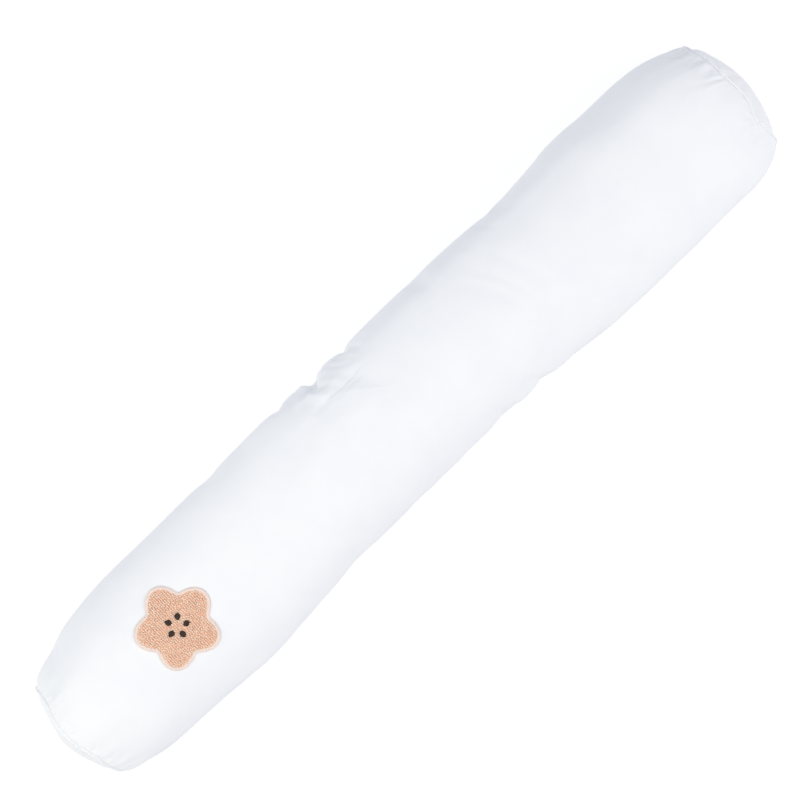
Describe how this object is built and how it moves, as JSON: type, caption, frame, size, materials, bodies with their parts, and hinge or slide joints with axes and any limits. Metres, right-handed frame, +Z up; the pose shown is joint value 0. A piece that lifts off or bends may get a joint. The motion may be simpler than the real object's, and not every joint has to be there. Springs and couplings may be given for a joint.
{
  "type": "baby bolster pillow",
  "caption": "Long tube-shaped baby pillow in white cotton, softly filled, with round sewn-in end panels, light creases and a tan terry flower patch near one end.",
  "frame": {"origin": "on the resting surface, under the middle of the bounding box", "axes": "+X along the bolster, away from the end with the patch; +Y towards the side with the hand-closed opening; +Z up through the crown that carries the patch"},
  "size_m": [0.9496, 0.1746, 0.143],
  "materials": {
    "white_cotton": "fine plain-woven cotton, matt, slightly bluish white",
    "tan_terry": "short looped terry pile, matt",
    "cream_thread": "satin-stitched cotton thread, soft sheen",
    "brown_thread": "dark stitched thread, soft sheen"
  },
  "bodies": {
    "root": {"bolster_body": "white_cotton", "end_panel_left": "white_cotton", "end_panel_right": "white_cotton", "flower_patch": "tan_terry", "patch_edging": "cream_thread", "stitched_seed_1": "brown_thread", "stitched_seed_2": "brown_thread", "stitched_seed_3": "brown_thread", "stitched_seed_4": "brown_thread", "stitched_seed_5": "brown_thread"}
  },
  "joints": []
}
